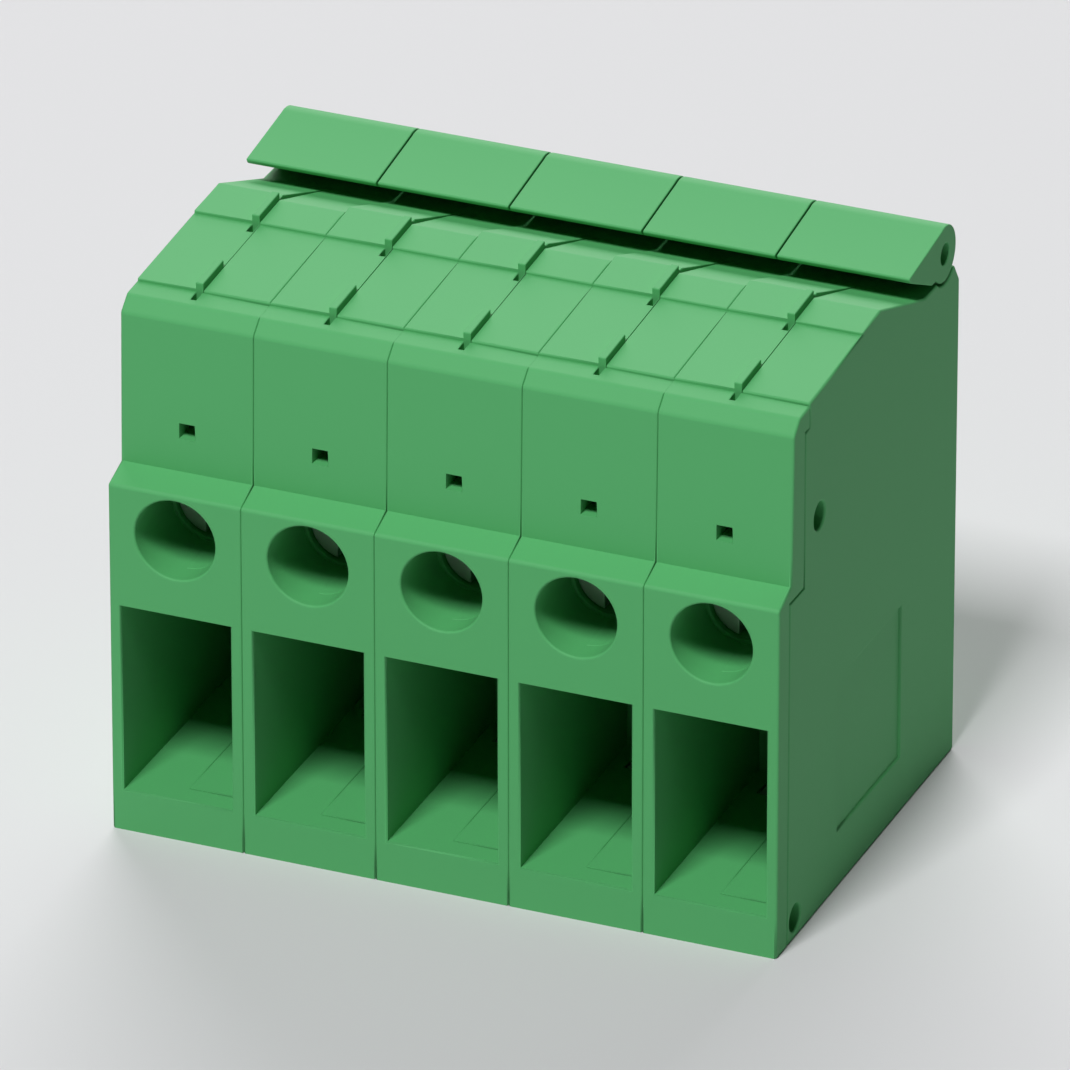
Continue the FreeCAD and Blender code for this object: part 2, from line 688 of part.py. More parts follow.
def make_wedge_nut(pole):
    """The nut on the screw, whose sloping underside drives the pressure piece down."""
    body = new_body("wedge_nut_%d" % pole, pole)
    side_pad(body, "block", WEDGE_OUTLINE, "metal_side", "metal_width")
    front_bore(body, "nut_bore", "nut_radius", "wedge_back")
    return body


def make_pressure_piece(pole):
    """The jaw that comes down on the wire, with two cross grooves in its underside."""
    body = new_body("pressure_piece_%d" % pole, pole)
    side_pad(body, "jaw", PIECE_OUTLINE, "metal_side", "metal_width")
    return body


def make_clamp_frame(pole):
    """The folded steel frame that takes the clamping force round wedge, jaw and current bar."""
    body = new_body("clamp_frame_%d" % pole, pole)
    side_pad(body, "strip", CLAMP_FRAME_OUTLINE, "metal_side", "metal_width")
    front_bore(body, "screw_hole", "frame_hole_radius", "wedge_closed_front")
    floor_slot(body, "pin_window", REAR_PIN_HOLE, "bar_low")
    return body


def make_current_bar(pole):
    """The tinned bar under the wire, stepped down to the front, with two solder pins."""
    body = new_body("current_bar_%d" % pole, pole)
    side_pad(body, "bar", BAR_OUTLINE, "bar_side", "bar_width")
    pins = (
        ("front_pin", "bar_front_depth", "front_pin_back", "bar_run_top", "front_pin_run"),
        ("rear_pin", "rear_pin_front", "rear_pin_back", "clamp_floor", "rear_pin_run"),
    )
    for label, front, back, top, run in pins:
        sketch = new_sketch(body, label, "XY_Plane", top)
        draw_outline(sketch, rectangle("pin_left", "pin_right", front, back))
        pad(body, sketch, run, reverse=True)
    return body


def make_test_contact(pole):
    """The bent strip behind the probe hole, which stands on the clamp frame."""
    body = new_body("test_contact_%d" % pole, pole)
    side_pad(body, "strip", CONTACT_OUTLINE, "contact_side", "contact_width")
    return body


def make_label_flap(pole):
    """The hinged flap over the rear of the roof: a wedge-shaped plate with a round knuckle."""
    body = new_body("label_flap_%d" % pole, pole)
    side_pad(body, "plate", FLAP_OUTLINE, "flap_side", "flap_width")
    side_round(body, "knuckle", "pivot_depth", "pivot_height", "knuckle_radius", "flap_side", "flap_width")
    lug_slot = rectangle("flap_slot_front", "flap_slot_back", "flap_slot_low", "flap_slot_top")
    side_cut(body, "lug_slot", lug_slot, "flap_slot_side", "flap_slot_width")
    eye = ("pivot_depth", "pivot_height", "stub_hole_radius")
    side_round(body, "eye", *eye, "flap_side", "flap_width", cut=True)
    return body


MAKERS = (
    make_housing_shell,
    make_side_cover,
    make_clamp_screw,
    make_wedge_nut,
    make_pressure_piece,
    make_clamp_frame,
    make_current_bar,
    make_test_contact,
    make_label_flap,
)


def check_model(bodies):
    """Stops unless every object recomputed and every body is one sound solid."""
    for item in doc.Objects:
        if "Invalid" in item.State or "Error" in item.State:
            raise RuntimeError("%s failed: %s" % (item.Label, item.State))
    for body in bodies:
        shape = body.Shape
        if shape.isNull() or not shape.isValid():
            raise RuntimeError("%s has no sound shape" % body.Label)
        if len(shape.Solids) != 1:
            raise RuntimeError("%s has %d solids" % (body.Label, len(shape.Solids)))


def main():
    """Builds every disc and writes one STEP file for each sub-part."""
    fill_sheet()
    poles = range(1, int(size("pole_count")) + 1)
    bodies = [make(pole) for make in MAKERS for pole in poles]
    doc.recompute()
    check_model(bodies)
    os.makedirs("parts", exist_ok=True)
    for body in bodies:
        body.Shape.exportStep("parts/%s.step" % body.Label)
        print("%-20s %8.2f mm3" % (body.Label, body.Shape.Volume))


main()
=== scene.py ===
"""Dresses the five-pole screw terminal: moulded housings, flaps, plated clamps and screws."""
import json
from math import cos, pi, radians

import bmesh
import bpy
import numpy as np
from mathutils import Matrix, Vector


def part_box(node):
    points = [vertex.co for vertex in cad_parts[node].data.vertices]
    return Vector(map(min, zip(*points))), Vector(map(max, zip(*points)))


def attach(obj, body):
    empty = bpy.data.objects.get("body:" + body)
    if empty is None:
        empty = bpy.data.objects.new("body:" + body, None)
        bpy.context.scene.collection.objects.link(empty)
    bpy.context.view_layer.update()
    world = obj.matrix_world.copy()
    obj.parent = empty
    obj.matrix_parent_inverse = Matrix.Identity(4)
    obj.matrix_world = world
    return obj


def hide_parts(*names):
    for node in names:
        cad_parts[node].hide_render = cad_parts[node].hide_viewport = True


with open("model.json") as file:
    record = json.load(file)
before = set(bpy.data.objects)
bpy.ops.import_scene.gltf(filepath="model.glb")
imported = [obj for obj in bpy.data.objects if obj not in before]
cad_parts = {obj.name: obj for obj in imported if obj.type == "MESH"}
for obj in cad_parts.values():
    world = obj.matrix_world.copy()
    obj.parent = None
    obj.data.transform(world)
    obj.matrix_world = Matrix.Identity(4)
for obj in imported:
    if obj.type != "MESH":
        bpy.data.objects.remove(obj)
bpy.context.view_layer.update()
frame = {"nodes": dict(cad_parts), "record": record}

bl_info = {
    "name": "Screw terminal row",
    "version": (1, 0, 0),
    "blender": (4, 5, 0),
    "location": "3D View > Sidebar > Terminal",
    "description": "Dresses a row of screw terminal poles in moulded polyamide and plated metal",
    "category": "Object",
}

MM = 0.001

# The row as the frame gives it: shell 1 has no pegs, so its box is one whole pole.
SHELL_LOW, SHELL_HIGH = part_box("housing_shell_1")
COVER_LOW, COVER_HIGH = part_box("side_cover_1")
POLES = sum(name.startswith("housing_shell_") for name in frame["nodes"])
PITCH = SHELL_HIGH.x - SHELL_LOW.x
ROW_LEFT = SHELL_LOW.x
FRONT = SHELL_LOW.y
DEPTH = SHELL_HIGH.y - FRONT
ROOF_TOP = COVER_HIGH.z
MOUNTS = {mount["name"]: mount for mount in frame["record"]["mounts"]}
SCREW_HEIGHT = MOUNTS["screw_access_1"]["pos_m"][2]

# Heights above the board: the entry's floor and ceiling, and the probe hole's lower edge
ENTRY_FLOOR = 2.4 * MM
ENTRY_TOP = 13.45 * MM
PROBE_LOW = 23.05 * MM

# Depths behind the front face: the entry's end, the brow's end, the two steps across the roof,
# the stretches behind the steps where the seams between poles lie open, and the hinges' start
ENTRY_DEPTH = 9.0 * MM
BROW_REACH = 2.8 * MM
ROOF_STEPS = (4.1 * MM, 11.5 * MM)
SEAM_GROOVES = ((ROOF_STEPS[0], 6.7 * MM), (ROOF_STEPS[1], 13.6 * MM))
HINGE_START = 20.7 * MM

# How far below its top the roof still counts as roof
ROOF_FALL = 3.2 * MM

# Sizes of the clamp screw along its axis, from the face of its head
HEAD_LENGTH = 2.6 * MM
SLOT_WIDTH = 0.8 * MM
SLOT_DEPTH = 1.3 * MM
SHANK_RADIUS = 1.5 * MM
COLLAR_START = 3.5 * MM
COLLAR_END = 4.3 * MM
COLLAR_RADIUS = 1.9 * MM
THREAD_START = 5.0 * MM
TIP_CHAMFER = 0.35 * MM

# Chords of the screw's face on each side of its slot and in it, and rows of faces to a thread turn
SIDE_CHORDS = 9
SLOT_CHORDS = 5
ROWS_PER_TURN = 8

# Distances within which places, a cut's corners, and doubled corners count as the same, and the
# least length that is divided by
TOUCH = 0.01 * MM
CUT_SNAP = TOUCH / 10
MERGE_DISTANCE = 0.001 * MM
TINY = 1e-9

# Folds between two faces: flat up to the first, rounded from the second, and drawn as an edge
# from the third, or from the fourth on a thread
FLAT_FOLD = radians(0.5)
SHARP_FOLD = radians(18)
SMOOTH_FOLD = radians(30)
THREAD_FOLD = radians(70)

# Edges: the cosine from which one runs along the row, and the shares of a pole's width from
# which such an edge is long, and full-width
ALONG_ROW = 0.99
LONG_SHARE = 0.4
FULL_SHARE = 0.8

# Roundings: the cosine below which edges cross, the share of a crossing edge that they may fill,
# and what is left of a seam's or fine edge's rounding on the roof, a flap's sides and a hinge
CROSSING = cos(radians(45))
ROOM = 0.9
ROOF_SEAM_SHARE = 1 / 8
FLAP_SIDE_SHARE = 0.7
HINGE_SHARE = 1 / 2
MOULDED_SEGMENTS = 3
METAL_SEGMENTS = 2

# The range that most of a noise texture lies in, and the numbers of a colour Mix node's sockets
NOISE_LOW, NOISE_HIGH = 0.3, 0.7
MIX_SHARE, MIX_FIRST, MIX_SECOND, MIX_RESULT = 0, 6, 7, 2

# The studio, in metres
FLOOR_REACH = 3.0
KEY_PLACE, KEY_WIDTH = (-0.028, -0.529, 0.864), 0.25
BACK_PLACE, BACK_WIDTH = (-0.302, 0.83, 0.486), 0.8
CAMERA_PLACE = (0.26985, -0.6482, 0.3758)
CAMERA_TARGET = (0.0, 0.0, 0.0152)
VIEW_END = 20.0


def linear(hex_colour):
    """An sRGB colour such as "#40A050" as linear red, green and blue."""
    parts = [int(hex_colour[k:k + 2], 16) / 255 for k in (1, 3, 5)]
    return tuple(c / 12.92 if c <= 0.04045 else ((c + 0.055) / 1.055) ** 2.4 for c in parts)


class TerminalHousing(bpy.types.PropertyGroup):
    """Edges and colours of the moulded housing and flaps."""
    outer_edge: bpy.props.FloatProperty(
        name="Outer edges", description="Rounding of the ledge, the brow and the rear",
        default=0.18 * MM, min=0.02 * MM, max=0.3 * MM, unit="LENGTH")
    step_edge: bpy.props.FloatProperty(
        name="Roof steps", description="Rounding of the two low steps across the roof",
        default=0.11 * MM, min=0.0, max=0.14 * MM, unit="LENGTH")
    seam_edge: bpy.props.FloatProperty(
        name="Pole seams", description="Rounding of the edges where two poles meet",
        default=0.09 * MM, min=0.0, max=0.3 * MM, unit="LENGTH")
    rim_edge: bpy.props.FloatProperty(
        name="Rims", description="Rounding round the screw bores and the wire entries",
        default=0.14 * MM, min=0.0, max=0.3 * MM, unit="LENGTH")
    fine_edge: bpy.props.FloatProperty(
        name="Fine edges", description="Rounding of rails, probe holes and all other edges",
        default=0.07 * MM, min=0.0, max=0.15 * MM, unit="LENGTH")
    plastic: bpy.props.FloatVectorProperty(
        name="Plastic", description="Colour of the polyamide", subtype="COLOR",
        default=linear("#0E8E2E"), min=0.0, max=1.0)
    plastic_flow: bpy.props.FloatVectorProperty(
        name="Flow lines", description="Colour of the paler swirls in the polyamide",
        subtype="COLOR", default=linear("#1C9538"), min=0.0, max=1.0)


class TerminalClamp(bpy.types.PropertyGroup):
    """Sizes and colours of the metal parts."""
    thread_pitch: bpy.props.FloatProperty(
        name="Thread pitch", description="Travel of the clamp for one turn of the screw",
        default=0.5 * MM, min=0.2 * MM, max=1.0 * MM, unit="LENGTH")
    thread_depth: bpy.props.FloatProperty(
        name="Thread depth", description="Height of the thread on the screw's shank",
        default=0.28 * MM, min=0.0, max=0.4 * MM, unit="LENGTH")
    metal_edge: bpy.props.FloatProperty(
        name="Metal edges", description="Rounding of the edges of stamped and turned metal",
        default=0.08 * MM, min=0.0, max=0.2 * MM, unit="LENGTH")
    zinc: bpy.props.FloatVectorProperty(
        name="Zinc", description="Colour of the plated steel", subtype="COLOR",
        default=linear("#B9BCBA"), min=0.0, max=1.0)
    tin: bpy.props.FloatVectorProperty(
        name="Tin", description="Colour of the tinned copper", subtype="COLOR",
        default=linear("#CFCCC4"), min=0.0, max=1.0)


class TerminalStudio(bpy.types.PropertyGroup):
    """The floor, the light and the camera."""
    floor_colour: bpy.props.FloatVectorProperty(
        name="Floor", description="Colour of the pale floor", subtype="COLOR",
        default=linear("#D2D2D4"), min=0.0, max=1.0)
    key_power: bpy.props.FloatProperty(
        name="Key light", description="Power in watts of the soft light in front and above",
        default=9.0, min=0.0, unit="POWER")
    back_power: bpy.props.FloatProperty(
        name="Back light", description="Power in watts of the wide soft panel behind the row",
        default=8.0, min=0.0, unit="POWER")
    sky_strength: bpy.props.FloatProperty(
        name="Sky", description="Strength of the even light from all round",
        default=0.04, min=0.0)
    lens: bpy.props.FloatProperty(
        name="Lens", description="Focal length in millimetres",
        default=500.0, min=50.0, max=900.0, unit="CAMERA")


def node(tree, kind, inputs=None, **settings):
    """Adds a node; inputs maps a socket's name or number to a value or another node's output."""
    made = tree.nodes.new(kind)
    for name, value in settings.items():
        setattr(made, name, value)
    for key, value in (inputs or {}).items():
        socket = made.inputs[key]
        if isinstance(value, bpy.types.NodeSocket):
            tree.links.new(value, socket)
        else:
            socket.default_value = value
    return made


def mix_colours(tree, share, first, second):
    """The blend of two linear colours by a share from 0 to 1, as an output socket."""
    inputs = {MIX_SHARE: share, MIX_FIRST: (*first, 1.0), MIX_SECOND: (*second, 1.0)}
    return node(tree, "ShaderNodeMix", inputs, data_type="RGBA").outputs[MIX_RESULT]


def new_material(name):
    """A material with no nodes but the object coordinates that its patterns read."""
    material = bpy.data.materials.new(name)
    material.use_nodes = True
    tree = material.node_tree
    tree.nodes.clear()
    return material, tree, node(tree, "ShaderNodeTexCoord").outputs["Object"]


def finish_material(tree, surface):
    """Links a shader to a new output."""
    node(tree, "ShaderNodeOutputMaterial", {"Surface": surface})


def moulded_polyamide():
    """Polyamide 6.6 moulded in a spark-eroded tool: a fine even grain that breaks up the gloss,
    with faint paler swirls where the melt flowed."""
    colours = bpy.context.scene.terminal_housing
    material, tree, place = new_material("moulded_polyamide")
    grain_size, swirl_size, patch_size, grain_depth = 0.17 * MM, 6.0 * MM, 0.9 * MM, 0.012 * MM
    grain = node(tree, "ShaderNodeTexNoise",
                 {"Vector": place, "Scale": 1 / grain_size, "Detail": 3.0, "Roughness": 0.6})
    swirl = node(tree, "ShaderNodeTexNoise",
                 {"Vector": place, "Scale": 1 / swirl_size, "Detail": 4.0, "Distortion": 0.8})
    patch = node(tree, "ShaderNodeTexNoise",
                 {"Vector": place, "Scale": 1 / patch_size, "Detail": 2.0})
    share = node(tree, "ShaderNodeMapRange",
                 {"Value": swirl.outputs[0], "From Min": 0.35, "From Max": 0.68})
    gloss = node(tree, "ShaderNodeMapRange",
                 {"Value": patch.outputs[0], "From Min": NOISE_LOW, "From Max": NOISE_HIGH,
                  "To Min": 0.3, "To Max": 0.38})
    bump = node(tree, "ShaderNodeBump",
                {"Height": grain.outputs[0], "Strength": 0.35, "Distance": grain_depth})
    colour = mix_colours(tree, share.outputs[0], colours.plastic, colours.plastic_flow)
    shader = node(tree, "ShaderNodeBsdfPrincipled",
                  {"Base Color": colour, "Roughness": gloss.outputs[0], "IOR": 1.53,
                   "Normal": bump.outputs[0]})
    finish_material(tree, shader.outputs[0])
    return material


def plated_metal(name, colour, darker, cloud_size, roughness, dent):
    """A thin plating on metal: soft cloudy patches in its tint, and a gloss that follows them."""
    material, tree, place = new_material(name)
    gloss_change = 0.07
    cloud = node(tree, "ShaderNodeTexNoise",
                 {"Vector": place, "Scale": 1 / cloud_size, "Detail": 5.0, "Roughness": 0.65})
    share = node(tree, "ShaderNodeMapRange",
                 {"Value": cloud.outputs[0], "From Min": NOISE_LOW, "From Max": NOISE_HIGH})
    gloss = node(tree, "ShaderNodeMapRange",
                 {"Value": cloud.outputs[0], "From Min": NOISE_LOW, "From Max": NOISE_HIGH,
                  "To Min": roughness - gloss_change, "To Max": roughness + gloss_change})
    bump = node(tree, "ShaderNodeBump",
                {"Height": cloud.outputs[0], "Strength": 0.3, "Distance": dent})
    shader = node(tree, "ShaderNodeBsdfPrincipled",
                  {"Base Color": mix_colours(tree, share.outputs[0], colour, darker),
                   "Metallic": 1.0, "Roughness": gloss.outputs[0], "Normal": bump.outputs[0]})
    finish_material(tree, shader.outputs[0])
    return material


def zinc_plated_steel():
    """Stamped steel with bright zinc: satin, slightly blue, with soft patches from the bath."""
    zinc = bpy.context.scene.terminal_clamp.zinc
    return plated_metal("zinc_plated_steel", zinc, linear("#A3A8A8"), cloud_size=1.2 * MM,
                        roughness=0.34, dent=0.01 * MM)


def zinc_plated_screw():
    """Turned and rolled steel with bright zinc: a little glossier than the stamped parts."""
    zinc = bpy.context.scene.terminal_clamp.zinc
    return plated_metal("zinc_plated_screw", zinc, linear("#ADB1B0"), cloud_size=0.7 * MM,
                        roughness=0.27, dent=0.006 * MM)


def tinned_copper():
    """Copper strip with matt tin: pale, slightly warm, with the fine cloudiness of a tin bath."""
    tin = bpy.context.scene.terminal_clamp.tin
    return plated_metal("tinned_copper", tin, linear("#BDB7AB"), cloud_size=0.8 * MM,
                        roughness=0.42, dent=0.008 * MM)


def material_of(make):
    """The material that a maker gives, made once."""
    return bpy.data.materials.get(make.__name__) or make()


def add_piece(name, mesh, material, body, replaced):
    """Links a finished mesh as a piece that rides on a body and stands for one CAD node."""
    mesh.materials.append(material)
    piece = bpy.data.objects.new(name, mesh)
    bpy.context.scene.collection.objects.link(piece)
    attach(piece, body)
    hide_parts(replaced)
    return piece


def merged(points, faces):
    """A bmesh of some faces, with the corners that lie in one place made one."""
    mesh = bpy.data.meshes.new("faces")
    mesh.from_pydata(points, [], faces)
    work = bmesh.new()
    work.from_mesh(mesh)
    bpy.data.meshes.remove(mesh)
    bmesh.ops.remove_doubles(work, verts=work.verts, dist=MERGE_DISTANCE)
    return work


def cut_across(work, axis, places):
    """Cuts the mesh by planes square to an axis and marks the cuts, which then stay in it."""
    normal = Vector((0.0, 0.0, 0.0))
    normal[axis] = 1.0
    for place in places:
        everything = work.verts[:] + work.edges[:] + work.faces[:]
        cut = bmesh.ops.bisect_plane(work, geom=everything, dist=CUT_SNAP,
                                     plane_co=normal * place, plane_no=normal)
        for part in cut["geom_cut"]:
            if isinstance(part, bmesh.types.BMEdge):
                part.seam = True


def joined_copy(node_name, depths, heights):
    """The triangles of a CAD node as one closed bmesh whose flat faces are whole but for cuts.

    The cuts at heights open the ring-shaped faces round the bores and entries square to their
    rims. The cuts at depths behind the front face let the rounding of a long edge change."""
    source = frame["nodes"][node_name].data
    source.calc_loop_triangles()
    points = np.empty(3 * len(source.vertices), np.float32)
    source.vertices.foreach_get("co", points)
    corners = np.empty(3 * len(source.loop_triangles), np.int32)
    source.loop_triangles.foreach_get("vertices", corners)
    work = merged(points.reshape(-1, 3), corners.reshape(-1, 3))
    cut_across(work, 1, [FRONT + depth for depth in depths])
    cut_across(work, 2, heights)
    bmesh.ops.dissolve_limit(work, angle_limit=FLAT_FOLD, verts=work.verts, edges=work.edges,
                             delimit={"SEAM"})
    return work


def edge_facts(work, left):
    """Midpoints in the pole's own frame, unit directions, lengths and folds of all edges.

    The pole's frame counts across from its left face, back from the front face and up from the
    board. A fold is the angle between the edge's two faces, below zero in a hollow."""
    ends = np.array([[edge.verts[0].co, edge.verts[1].co] for edge in work.edges])
    folds = np.array([edge.calc_face_angle_signed(0.0) for edge in work.edges])
    run = ends[:, 1] - ends[:, 0]
    length = np.linalg.norm(run, axis=1)
    middles = ends.mean(axis=1) - (left, FRONT, 0.0)
    return middles, run / np.maximum(length, TINY)[:, None], length, folds


def fitting_radii(work, run, length, radii):
    """The radii, cut back where two roundings would meet on an edge that crosses between them.

    At each end of the edge the largest radius of the edges that cross it counts. Where the two
    together are more than its length has room for, both are scaled by the same share."""
    work.edges.index_update()
    share = np.ones(len(radii))
    for edge in work.edges:
        crossing = [[other.index for other in vertex.link_edges
                     if abs(run[other.index] @ run[edge.index]) < CROSSING]
                    for vertex in edge.verts]
        wanted = sum(max((radii[k] for k in meeting), default=0.0) for meeting in crossing)
        room = ROOM * length[edge.index]
        if wanted > room:
            for meeting in crossing:
                share[meeting] = np.minimum(share[meeting], room / wanted)
    return radii * share


def rounded_mesh(name, work, radii, smooth_fold=SMOOTH_FOLD):
    """The bmesh as a smooth mesh, with each edge's radius kept as a share of the largest."""
    mesh = bpy.data.meshes.new(name)
    work.to_mesh(mesh)
    work.free()
    mesh.shade_smooth()
    mesh.set_sharp_from_angle(angle=smooth_fold)
    largest = float(radii.max())
    weights = mesh.attributes.new("bevel_weight_edge", "FLOAT", "EDGE")
    weights.data.foreach_set("value", (radii / largest).astype(np.float32))
    return mesh, largest


def round_edges(piece, width, segments):
    """Rounds the weighted edges of a piece."""
    bevel = piece.modifiers.new("Rounded edges", "BEVEL")
    bevel.limit_method = "WEIGHT"
    bevel.width = width
    bevel.segments = segments
    bevel.use_clamp_overlap = False
    bevel.loop_slide = False
    bevel.harden_normals = True


def near(values, target):
    """Which values lie on a target place."""
    return np.abs(values - target) < TOUCH


def housing_radii(work, pole):
    """The rounding of each edge of a shell or cover, by where the edge lies on the pole.

    Each rule below overrides those before it. The ledge, brow and rear are rounded most, then
    the rims of bores and entries and the row's two ends, and the rest finely. On the roof the
    seams between poles are almost closed, but for the open grooves behind the steps. Hollows
    stay sharp, and so does the middle, where shell and cover meet, below the roof."""
    sizes = bpy.context.scene.terminal_housing
    middles, run, length, folds = edge_facts(work, ROW_LEFT + (pole - 1) * PITCH)
    across, back, up = middles.T
    left, middle, right = near(across, 0.0), near(across, PITCH / 2), near(across, PITCH)
    boundary = left | right
    row_end = left & (pole == 1) | right & (pole == POLES)
    roof = up > ROOF_TOP - ROOF_FALL
    behind_brow = back > BROW_REACH
    at_hinge = back > HINGE_START
    open_groove = np.zeros(len(folds), bool)
    for start, end in SEAM_GROOVES:
        open_groove |= (back > start) & (back < end)
    in_entry = (back < ENTRY_DEPTH) & (up < ENTRY_TOP) & (up > ENTRY_FLOOR - TOUCH)
    cover_front = near(back, COVER_LOW.y - FRONT)
    long_edge = (np.abs(run[:, 0]) > ALONG_ROW) & (length > LONG_SHARE * PITCH)
    outline = (near(back, 0.0) & (up > SCREW_HEIGHT)) | (roof & ~behind_brow) | near(back, DEPTH)

    radii = np.full(len(folds), sizes.fine_edge)
    radii[near(back, 0.0) & (up > TOUCH)] = sizes.rim_edge
    radii[boundary] = sizes.seam_edge
    radii[boundary & roof & behind_brow & ~open_groove] = sizes.seam_edge * ROOF_SEAM_SHARE
    radii[middle & roof & behind_brow] = sizes.fine_edge
    radii[middle & ~roof] = 0.0
    radii[in_entry & (middle | cover_front)] = sizes.seam_edge
    radii[row_end] = sizes.rim_edge
    for step in ROOF_STEPS:
        radii[long_edge & roof & near(back, step)] = sizes.step_edge
    radii[long_edge & outline] = sizes.outer_edge
    radii[at_hinge & roof & ~boundary] = sizes.fine_edge * HINGE_SHARE
    radii[at_hinge & middle] = 0.0
    radii[folds < SHARP_FOLD] = 0.0
    return fitting_radii(work, run, length, radii)


def flap_radii(work, pole):
    """The rounding of each edge of a flap: more on full-width edges than on sides and slot."""
    sizes = bpy.context.scene.terminal_housing
    _, run, length, folds = edge_facts(work, ROW_LEFT + (pole - 1) * PITCH)
    radii = np.full(len(folds), sizes.seam_edge * FLAP_SIDE_SHARE)
    radii[(np.abs(run[:, 0]) > ALONG_ROW) & (length > FULL_SHARE * PITCH)] = sizes.rim_edge
    radii[folds < SHARP_FOLD] = 0.0
    return fitting_radii(work, run, length, radii)


def metal_radii(work, pole):
    """The rounding of each edge of a metal part: the same on every outer edge."""
    folds = edge_facts(work, ROW_LEFT + (pole - 1) * PITCH)[3]
    return np.where(folds < SHARP_FOLD, 0.0, bpy.context.scene.terminal_clamp.metal_edge)


def dress_nodes(kind, body_of, radii_of, make_material, segments, depths=(), heights=()):
    """Replaces each pole's CAD node of one kind by a copy with rounded edges and a finish."""
    for pole in range(1, POLES + 1):
        node_name = "%s_%d" % (kind, pole)
        name = "rounded_" + node_name
        work = joined_copy(node_name, depths, heights)
        mesh, width = rounded_mesh(name, work, radii_of(work, pole))
        piece = add_piece(name, mesh, material_of(make_material), body_of(pole), node_name)
        round_edges(piece, width, segments)


def on_housing(pole):
    """The body that the fixed parts of every pole ride on."""
    return "housing"


class TERMINAL_OT_housings(bpy.types.Operator):
    """Rounds and finishes the shells and side covers of all poles."""
    bl_idname = "terminal.housings"
    bl_label = "Moulded housings"

    def execute(self, context):
        depths = [depth for groove in SEAM_GROOVES for depth in groove]
        heights = (ENTRY_FLOOR, ENTRY_TOP, SCREW_HEIGHT, PROBE_LOW)
        for kind in ("housing_shell", "side_cover"):
            dress_nodes(kind, on_housing, housing_radii, moulded_polyamide, MOULDED_SEGMENTS,
                        depths, heights)
        return {"FINISHED"}


class TERMINAL_OT_flaps(bpy.types.Operator):
    """Rounds and finishes the hinged flaps."""
    bl_idname = "terminal.flaps"
    bl_label = "Hinged flaps"

    def execute(self, context):
        dress_nodes("label_flap", "label_flap_{}_body".format, flap_radii, moulded_polyamide,
                    MOULDED_SEGMENTS)
        return {"FINISHED"}


class TERMINAL_OT_clamps(bpy.types.Operator):
    """Rounds and finishes the steel frames, wedge nuts and jaws."""
    bl_idname = "terminal.clamps"
    bl_label = "Wedge clamps"

    def execute(self, context):
        for kind, body_of in (("clamp_frame", on_housing),
                              ("wedge_nut", "wedge_nut_{}_body".format),
                              ("pressure_piece", "pressure_piece_{}_body".format)):
            dress_nodes(kind, body_of, metal_radii, zinc_plated_steel, METAL_SEGMENTS)
        return {"FINISHED"}


class TERMINAL_OT_contacts(bpy.types.Operator):
    """Rounds and finishes the current bars with their pins, and the test contacts."""
    bl_idname = "terminal.contacts"
    bl_label = "Current bars and contacts"

    def execute(self, context):
        for kind in ("current_bar", "test_contact"):
            dress_nodes(kind, on_housing, metal_radii, tinned_copper, METAL_SEGMENTS)
        return {"FINISHED"}


def grid_faces(rows, columns, closed):
    """The quads of a grid, numbered row by row; closed joins the last column to the first."""
    row, column = np.meshgrid(np.arange(rows - 1), np.arange(columns if closed else columns - 1),
                              indexing="ij")
    following = (column + 1) % columns
    corners = (row * columns + column, row * columns + following,
               (row + 1) * columns + following, (row + 1) * columns + column)
    return np.stack(corners, axis=-1).reshape(-1, 4)


def screw_angles(head_radius):
    """Angles of the chords of the screw's face, and each chord's depth below it.

    The chords run from one side to the other. Each wall of the slot has two at the same angle,
    one at the face and one at the slot's floor."""
    wall = np.arccos(SLOT_WIDTH / 2 / head_radius)
    sides = np.linspace(0.0, wall, SIDE_CHORDS)
    slot = np.linspace(wall, pi - wall, SLOT_CHORDS)
    level = np.zeros(SIDE_CHORDS)
    angles = np.concatenate((sides, slot, pi - sides[::-1]))
    depths = np.concatenate((level, np.full(SLOT_CHORDS, SLOT_DEPTH), level))
    return angles, depths


def screw_profile(head_radius, length):
    """Radius, depth and share of the thread at each step along the screw, from head to tip."""
    thread_end = length - 2 * TIP_CHAMFER
    pitch = bpy.context.scene.terminal_clamp.thread_pitch
    steps = int(round((thread_end - THREAD_START) / pitch * ROWS_PER_TURN))
    thread = np.linspace(THREAD_START, thread_end, steps + 1)
    share = np.clip(np.minimum(thread - THREAD_START, thread_end - thread) / pitch, 0.0, 1.0)
    plain = np.array([(head_radius, SLOT_DEPTH), (head_radius, HEAD_LENGTH),
                      (SHANK_RADIUS, HEAD_LENGTH), (SHANK_RADIUS, COLLAR_START),
                      (COLLAR_RADIUS, COLLAR_START), (COLLAR_RADIUS, COLLAR_END),
                      (SHANK_RADIUS, COLLAR_END)])
    tip = np.array([(SHANK_RADIUS, length - TIP_CHAMFER), (SHANK_RADIUS - TIP_CHAMFER, length),
                    (0.0, length)])
    shank = np.full(len(thread), SHANK_RADIUS)
    radius, depth = np.concatenate((plain, np.stack((shank, thread), axis=-1), tip)).T
    return radius, depth, np.concatenate((np.zeros(len(plain)), share, np.zeros(len(tip))))


